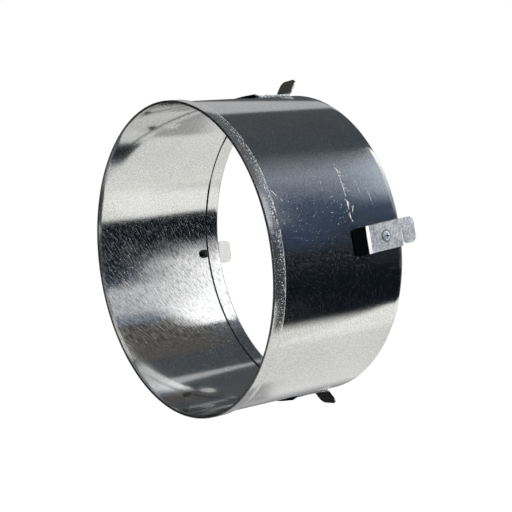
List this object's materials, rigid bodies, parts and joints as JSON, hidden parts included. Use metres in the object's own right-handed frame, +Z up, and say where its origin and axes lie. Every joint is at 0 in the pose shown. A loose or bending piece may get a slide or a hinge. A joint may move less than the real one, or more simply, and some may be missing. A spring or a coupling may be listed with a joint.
{
  "type": "heater duct adapter",
  "caption": "Short round galvanised sheet ring with hemmed ends and strip hook clips, joining a flexible air duct to a heater's outlet.",
  "frame": {"origin": "centre of the ring's rear edge, at the heater end", "axes": "+Y along the duct axis towards the heater, +Z up, -Y faces the duct"},
  "size_m": [0.3074, 0.169, 0.334],
  "materials": {
    "galvanised_sheet": "bright galvanised",
    "zinc_strip": "satin zinc",
    "zinc_screw": "bright zinc",
    "dark_nut": "blackened"
  },
  "bodies": {
    "root": {"duct_ring": "galvanised_sheet", "clip_top": "zinc_strip", "clip_right": "zinc_strip", "clip_bottom": "zinc_strip", "clip_left": "zinc_strip", "clip_screws": "zinc_screw", "clip_nuts": "dark_nut"}
  },
  "joints": []
}
